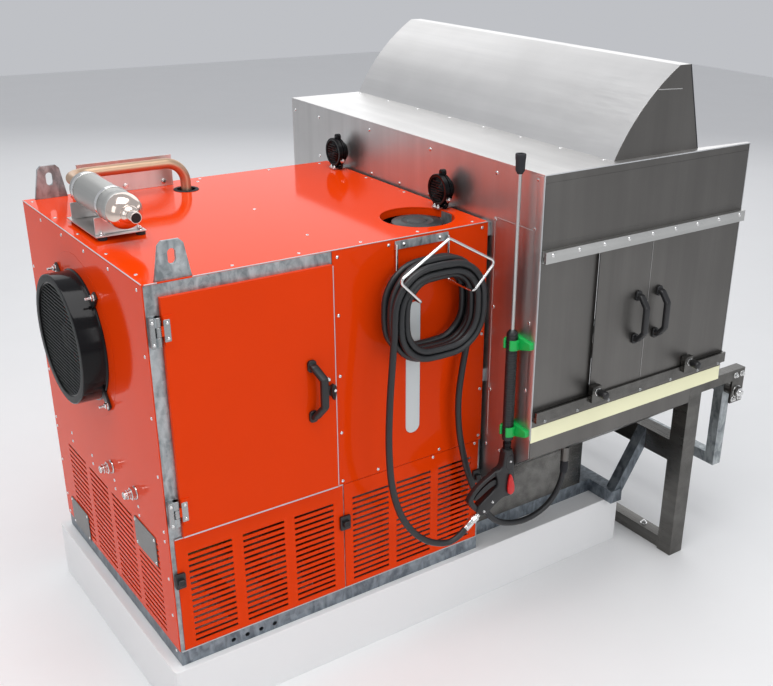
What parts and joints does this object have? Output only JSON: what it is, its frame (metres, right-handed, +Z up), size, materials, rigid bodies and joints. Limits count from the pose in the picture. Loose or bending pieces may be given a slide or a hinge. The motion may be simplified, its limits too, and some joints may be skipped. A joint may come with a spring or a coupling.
{
  "type": "bin washing machine with pressure washer",
  "caption": "Power cabinet with high-pressure washer, hose and lance beside a stainless wash chamber with a hood, sliding doors and a hanging bin lifter.",
  "frame": {"origin": "underside of the skid's middle cross member, halfway along and across the cabinet", "axes": "+X from the cabinet to the wash chamber and bin lifter, +Y to the back, +Z up"},
  "size_m": [2.0883, 1.4546, 1.712],
  "materials": {
    "orange_paint": "semi-gloss orange-red paint",
    "zinc": "hot-dip galvanised",
    "stainless": "brushed stainless sheet",
    "bright_steel": "bright plated steel",
    "heat_tinted_steel": "exhaust steel with heat tint",
    "black_plastic": "moulded black plastic",
    "black_rubber": "black rubber",
    "cast_iron": "cast and painted grey",
    "brass": "machined brass",
    "aluminium": "extruded aluminium",
    "tank_plastic": "translucent white plastic",
    "green_plastic": "green clip plastic",
    "red_plastic": "red catch plastic"
  },
  "bodies": {
    "machine": {"base_frame": "zinc", "cabinet_frame": "zinc", "top_panel": "orange_paint", "end_panel": "orange_paint", "back_panel": "orange_paint", "centre_panel": "orange_paint", "louvre_panel_left": "orange_paint", "louvre_panel_right": "orange_paint", "fan_cowl": "black_plastic", "cowl_grille": "black_plastic", "engine": "cast_iron", "drive_belt": "black_rubber", "pump": "brass", "water_tank": "tank_plastic", "silencer": "zinc", "silencer_stand": "stainless", "exhaust_pipe": "heat_tinted_steel", "water_inlet": "bright_steel", "water_outlet": "bright_steel", "hose_hook": "bright_steel", "hose_coil": "black_rubber", "hose_to_gun": "black_rubber", "hose_supply": "black_rubber", "gun_body": "black_plastic", "hose_coupling": "bright_steel", "lance": "black_plastic", "lance_clip_lower": "green_plastic", "lance_clip_upper": "green_plastic", "chamber_left_wall": "stainless", "chamber_back_wall": "stainless", "chamber_front_wall": "stainless", "chamber_roof": "stainless", "upper_rail": "aluminium", "lower_rail": "aluminium", "chamber_pan": "stainless", "sump_tank": "stainless", "spray_pipe": "bright_steel", "chamber_frame": "stainless"},
    "cabinet_door": {"door": "orange_paint", "door_handle": "black_plastic"},
    "quarter_turn_latch": {"door_latch": "black_plastic"},
    "left_panel_latch": {"panel_latch_left": "black_plastic"},
    "centre_panel_latch": {"panel_latch_centre": "black_plastic"},
    "right_panel_latch": {"panel_latch_right": "black_plastic"},
    "crankshaft": {"fan": "black_plastic", "drive_pulley": "cast_iron"},
    "pump_shaft": {"pump_pulley": "cast_iron"},
    "tank_cap": {"filler_cap": "black_plastic"},
    "trigger": {"gun_trigger": "black_plastic"},
    "safety_catch": {"gun_catch": "red_plastic"},
    "front_lamp": {"work_lamp_front": "black_rubber"},
    "rear_lamp": {"work_lamp_rear": "black_rubber"},
    "left_leaf": {"slide_door_left": "stainless"},
    "right_leaf": {"slide_door_right": "stainless"},
    "left_pin": {"lock_pin_left": "black_plastic"},
    "right_pin": {"lock_pin_right": "black_plastic"},
    "front_spray": {"spray_head_front": "bright_steel"},
    "rear_spray": {"spray_head_rear": "bright_steel"},
    "bin_lifter": {"lifter_frame": "zinc", "comb_bar": "zinc"}
  },
  "joints": [
    {"name": "cabinet_door_hinge", "type": "hinge", "parent": "machine", "child": "cabinet_door", "pos_m": [-0.488, -0.4585, 0.737], "axis": [0, 0, -1], "range_deg": [0, 110]},
    {"name": "quarter_turn", "type": "hinge", "parent": "cabinet_door", "child": "quarter_turn_latch", "pos_m": [-0.026, -0.4595, 0.715], "axis": [0, -1, 0], "range_deg": [0, 90]},
    {"name": "left_latch_slide", "type": "slide", "parent": "machine", "child": "left_panel_latch", "axis": [1, 0, 0], "range_m": [0, 0.008]},
    {"name": "centre_latch_slide", "type": "slide", "parent": "machine", "child": "centre_panel_latch", "axis": [1, 0, 0], "range_m": [0, 0.008]},
    {"name": "right_latch_slide", "type": "slide", "parent": "machine", "child": "right_panel_latch", "axis": [-1, 0, 0], "range_m": [0, 0.008]},
    {"name": "crankshaft_spin", "type": "hinge", "parent": "machine", "child": "crankshaft", "pos_m": [-0.51, 0.0375, 0.818], "axis": [1, 0, 0], "continuous": true},
    {"name": "pump_shaft_spin", "type": "hinge", "parent": "machine", "child": "pump_shaft", "pos_m": [-0.1, 0.0375, 0.2], "axis": [1, 0, 0], "continuous": true},
    {"name": "tank_cap_turn", "type": "hinge", "parent": "machine", "child": "tank_cap", "pos_m": [0.365, -0.3045, 1.066], "axis": [0, 0, 1], "range_deg": [0, 90]},
    {"name": "trigger_pull", "type": "hinge", "parent": "machine", "child": "trigger", "pos_m": [0.464, -0.5975, 0.338], "axis": [0, -1, 0], "range_deg": [0, 6], "stiffness_Nm_per_rad": 2},
    {"name": "safety_catch_turn", "type": "hinge", "parent": "machine", "child": "safety_catch", "pos_m": [0.498, -0.6125, 0.345], "axis": [0, 1, 0], "range_deg": [0, 30]},
    {"name": "front_lamp_turn", "type": "hinge", "parent": "machine", "child": "front_lamp", "pos_m": [0.475, -0.2605, 1.16], "axis": [0, 0, 1], "range_deg": [-30, 30]},
    {"name": "rear_lamp_turn", "type": "hinge", "parent": "machine", "child": "rear_lamp", "pos_m": [0.475, 0.3325, 1.16], "axis": [0, 0, 1], "range_deg": [-30, 30]},
    {"name": "left_leaf_slide", "type": "slide", "parent": "machine", "child": "left_leaf", "axis": [-1, 0, 0], "range_m": [0, 0.2]},
    {"name": "right_leaf_slide", "type": "slide", "parent": "machine", "child": "right_leaf", "axis": [1, 0, 0], "range_m": [0, 0.2]},
    {"name": "left_pin_pull", "type": "slide", "parent": "machine", "child": "left_pin", "axis": [0, -1, 0], "range_m": [0, 0.01]},
    {"name": "right_pin_pull", "type": "slide", "parent": "machine", "child": "right_pin", "axis": [0, -1, 0], "range_m": [0, 0.01]},
    {"name": "front_spray_spin", "type": "hinge", "parent": "machine", "child": "front_spray", "pos_m": [0.97, -0.2825, 0.52], "axis": [0, 0, 1], "continuous": true},
    {"name": "rear_spray_spin", "type": "hinge", "parent": "machine", "child": "rear_spray", "pos_m": [0.97, 0.3175, 0.52], "axis": [0, 0, 1], "continuous": true},
    {"name": "bin_lifter_pivot", "type": "hinge", "parent": "machine", "child": "bin_lifter", "pos_m": [1.478, 0.0165, 0.402], "axis": [0, -1, 0], "range_deg": [0, 150]}
  ],
  "couplings": [
    {"joint": "pump_shaft_spin", "follows": "crankshaft_spin", "ratio": 0.625}
  ]
}
